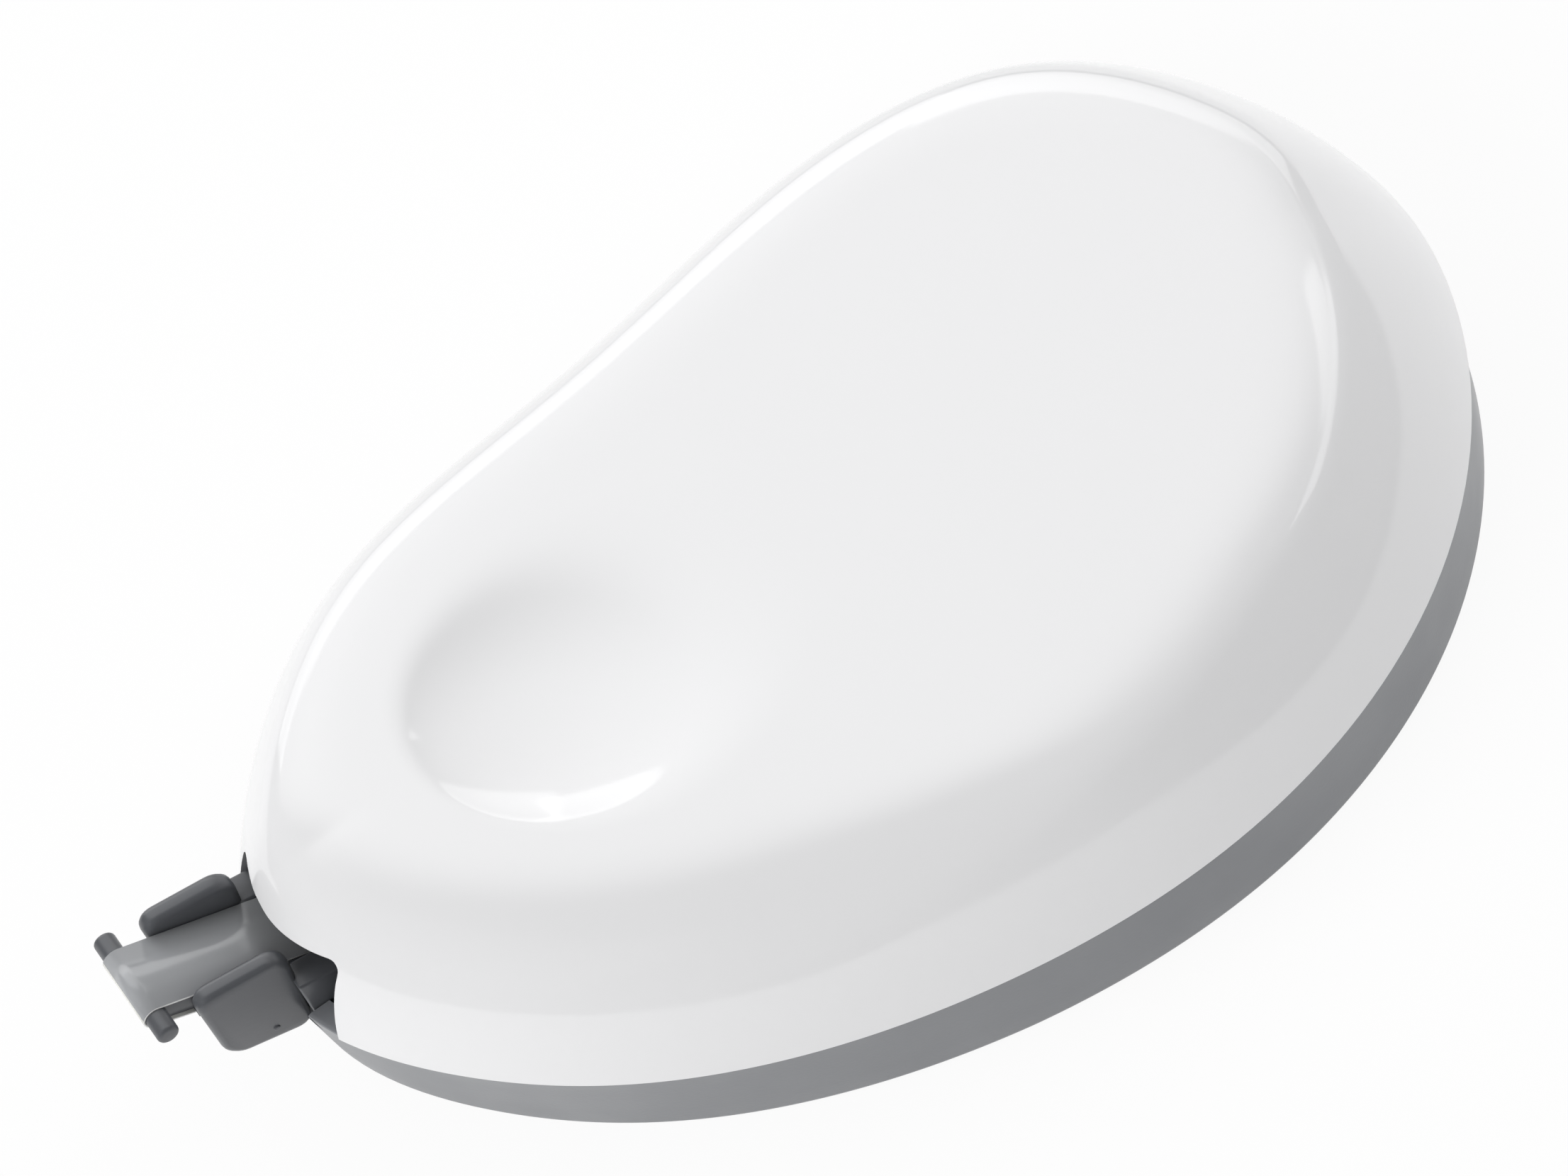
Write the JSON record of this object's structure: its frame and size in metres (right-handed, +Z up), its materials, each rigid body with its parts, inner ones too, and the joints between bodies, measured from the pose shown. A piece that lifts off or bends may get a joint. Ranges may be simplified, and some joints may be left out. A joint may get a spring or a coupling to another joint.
{
  "type": "correction tape roller",
  "caption": "Hand-held correction tape roller: rounded two-shell case, forked tape head, geared feed and take-up reels with a slip clutch inside.",
  "frame": {"origin": "point on the flat resting face, under the middle of the case's length", "axes": "+X from the tape head towards the rounded tail, +Y across the case, +Z up through its thickness as it lies flat"},
  "size_m": [0.0771, 0.0466, 0.0162],
  "materials": {
    "white_shell": "high-gloss injection-moulded polystyrene",
    "grey_shell": "satin injection-moulded plastic",
    "head_plastic": "smooth dark grey acetal",
    "carrier_tape": "thin glossy translucent release film",
    "coated_tape": "release film with a white correction coating",
    "reel_plastic": "natural polypropylene",
    "gear_plastic": "natural acetal",
    "clutch_rubber": "soft nitrile rubber",
    "spring_steel": "drawn spring wire",
    "washer_steel": "stamped steel"
  },
  "bodies": {
    "housing": {"upper_shell": "white_shell", "lower_shell": "grey_shell", "tape_head": "head_plastic", "feed_tape": "coated_tape", "return_tape": "carrier_tape"},
    "supply_reel": {"supply_spool": "reel_plastic", "supply_tape_coil": "coated_tape"},
    "supply_drive": {"supply_gear": "gear_plastic", "friction_ring": "clutch_rubber", "clutch_washer": "washer_steel", "clutch_spring": "spring_steel", "clutch_retainer": "reel_plastic"},
    "takeup_reel": {"takeup_spool": "reel_plastic", "takeup_pinion": "gear_plastic", "takeup_tape_coil": "carrier_tape"}
  },
  "joints": [
    {"name": "supply_reel_spin", "type": "hinge", "parent": "housing", "child": "supply_reel", "pos_m": [0.0135, -0.0015, 0.005], "axis": [0, 0, 1], "continuous": true},
    {"name": "supply_drive_spin", "type": "hinge", "parent": "housing", "child": "supply_drive", "pos_m": [0.0135, -0.0015, 0.003], "axis": [0, 0, 1], "continuous": true},
    {"name": "takeup_reel_spin", "type": "hinge", "parent": "housing", "child": "takeup_reel", "pos_m": [-0.00776, -0.0035, 0.003], "axis": [0, 0, 1], "continuous": true}
  ],
  "couplings": [
    {"joint": "supply_drive_spin", "follows": "supply_reel_spin", "ratio": 0.86441},
    {"joint": "takeup_reel_spin", "follows": "supply_reel_spin", "ratio": -2.2373}
  ]
}
